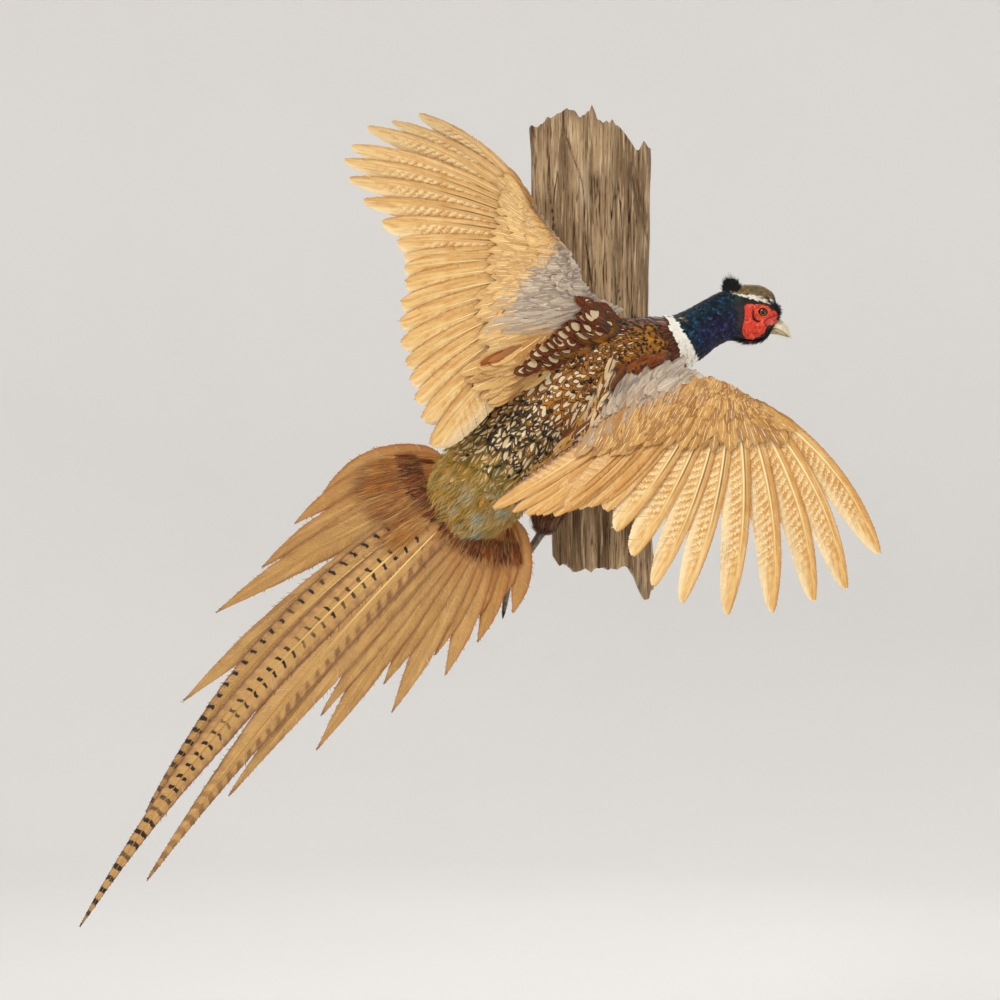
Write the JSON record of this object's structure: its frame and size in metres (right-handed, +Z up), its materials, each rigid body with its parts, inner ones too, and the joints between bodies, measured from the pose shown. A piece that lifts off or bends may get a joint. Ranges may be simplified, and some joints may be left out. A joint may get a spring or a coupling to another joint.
{
  "type": "taxidermy pheasant",
  "caption": "Cock ring-necked pheasant mounted in flight, back to the room, wings and long tail spread, on a driftwood slab that hangs on a wall.",
  "frame": {"origin": "a point on the driftwood's flat back, on the wall plane, near the middle of its height", "axes": "+Y into the wall, so the mount stands out towards -Y; +Z up; +X the way the bird flies, to the right of someone facing the wall"},
  "size_m": [0.7588, 0.2875, 0.8105],
  "materials": {
    "body_feathers": "body feathers: copper mantle, chestnut scapulars, green-gold rump",
    "neck_feathers": "glossy blue-green neck feathers above a white ring",
    "head_skin": "red bare face skin with fine bumps, olive-bronze crown",
    "wing_feathers": "pale gold flight feathers under grey-lilac coverts",
    "tail_feathers": "tan vermiculated tail feathers, the long ones barred",
    "bill_horn": "ivory horn, satin",
    "eye_glass": "polished glass taxidermy eye, amber iris and black pupil",
    "leg_scales": "grey-brown horny scales",
    "driftwood": "weathered grey-brown driftwood, open grain and cracks",
    "mount_steel": "zinc-plated rod, nut, washer and keyhole plate"
  },
  "bodies": {
    "root": {"driftwood": "driftwood", "hanger_plate": "mount_steel", "rod_washer": "mount_steel", "rod_nut": "mount_steel", "mount_rod": "mount_steel", "trunk": "body_feathers", "neck": "neck_feathers", "head": "head_skin", "eye_right": "eye_glass", "eye_left": "eye_glass", "bill_upper": "bill_horn", "bill_lower": "bill_horn", "wing_left_arm": "wing_feathers", "wing_left_primaries": "wing_feathers", "wing_left_secondaries": "wing_feathers", "wing_right_arm": "wing_feathers", "wing_right_primaries": "wing_feathers", "wing_right_secondaries": "wing_feathers", "tail_left_fan": "tail_feathers", "tail_right_fan": "tail_feathers", "tail_centre": "tail_feathers", "leg_right": "body_feathers", "foot_right": "leg_scales", "leg_left": "body_feathers", "foot_left": "leg_scales"}
  },
  "joints": []
}
